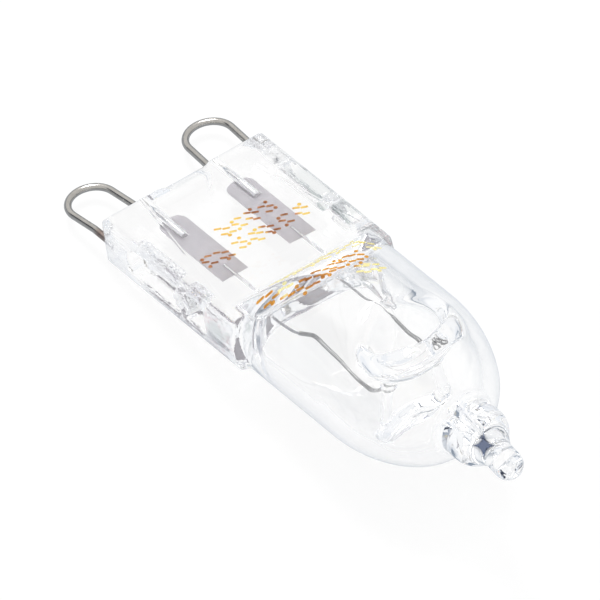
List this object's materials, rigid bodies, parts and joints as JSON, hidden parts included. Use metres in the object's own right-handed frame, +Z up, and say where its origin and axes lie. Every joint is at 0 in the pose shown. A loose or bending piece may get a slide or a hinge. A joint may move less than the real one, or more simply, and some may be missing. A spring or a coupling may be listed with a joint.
{
  "type": "halogen capsule bulb",
  "caption": "Clear quartz halogen capsule bulb lying on its side: a flat pinch with two wire contact loops, sealed foils, a pressed bulb holding a coil, and a drawn-off tip.",
  "frame": {"origin": "under the middle of the bounding box, on the table that the lamp lies on", "axes": "+X from the contact loops towards the sealed tip, +Y across the pinch, +Z up; the lamp lies on the rounded end of its pinch and on the shoulder of its bulb, so its own axis rises 11.38 degrees towards the tip"},
  "size_m": [0.0412, 0.0132, 0.0124],
  "materials": {
    "quartz_glass": "clear, glossy",
    "contact_wire": "satin bright wire",
    "sealing_foil": "matt grey foil",
    "lead_wire": "drawn wire",
    "filament_coil": "wound grey wire"
  },
  "bodies": {
    "root": {"quartz_envelope": "quartz_glass", "contact_loop_left": "contact_wire", "contact_loop_right": "contact_wire", "foil_left": "sealing_foil", "foil_right": "sealing_foil", "inner_lead_left": "lead_wire", "inner_lead_right": "lead_wire", "filament": "filament_coil"}
  },
  "joints": []
}
